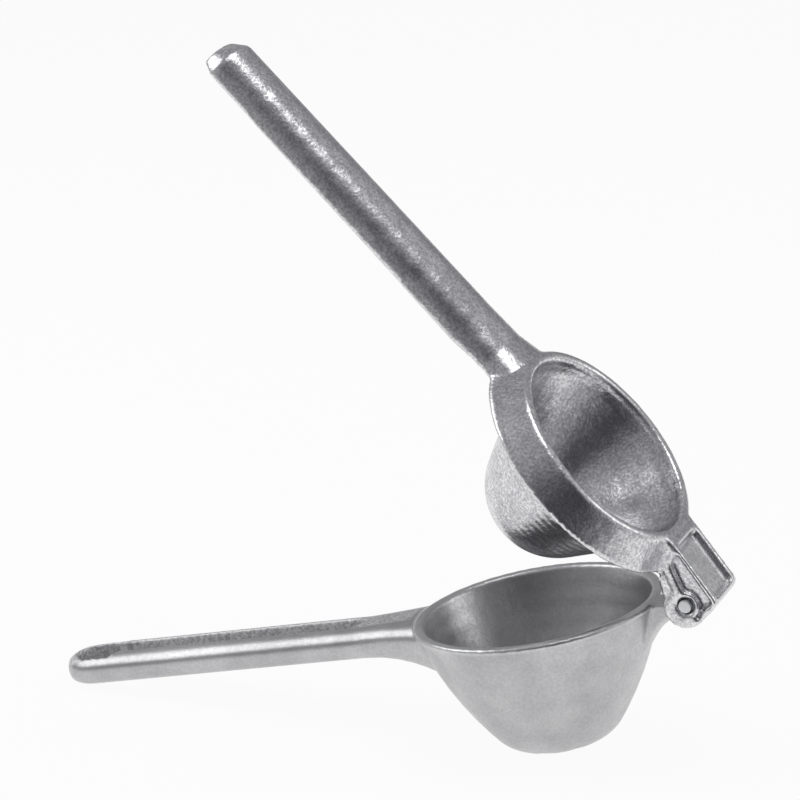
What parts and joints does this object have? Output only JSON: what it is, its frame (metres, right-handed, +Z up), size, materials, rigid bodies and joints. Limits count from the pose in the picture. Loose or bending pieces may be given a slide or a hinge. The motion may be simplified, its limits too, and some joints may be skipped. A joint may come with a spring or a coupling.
{
  "type": "lemon squeezer",
  "caption": "Hinged lever squeezer of cast aluminium: a hollow dome on the upper handle presses half a citrus fruit into a perforated cup on the lower handle.",
  "frame": {"origin": "on the table, at the middle of the footprint", "axes": "+Z up, +X from the handles towards the hinge, +Y along the hinge pin"},
  "size_m": [0.2198, 0.0772, 0.2096],
  "materials": {
    "cast_aluminium": "tumbled satin casting",
    "dull_aluminium": "granular as-cast skin, polished on the edges",
    "pin_steel": "cropped wire, slightly rounded ends"
  },
  "bodies": {
    "cup": {"cup_casting": "cast_aluminium"},
    "press": {"press_casting": "dull_aluminium", "hinge_pin": "pin_steel"}
  },
  "joints": [
    {"name": "hinge", "type": "hinge", "parent": "cup", "child": "press", "pos_m": [0.10018, 0, 0.05312], "axis": [0, 1, 0], "range_deg": [-58, 52]}
  ]
}
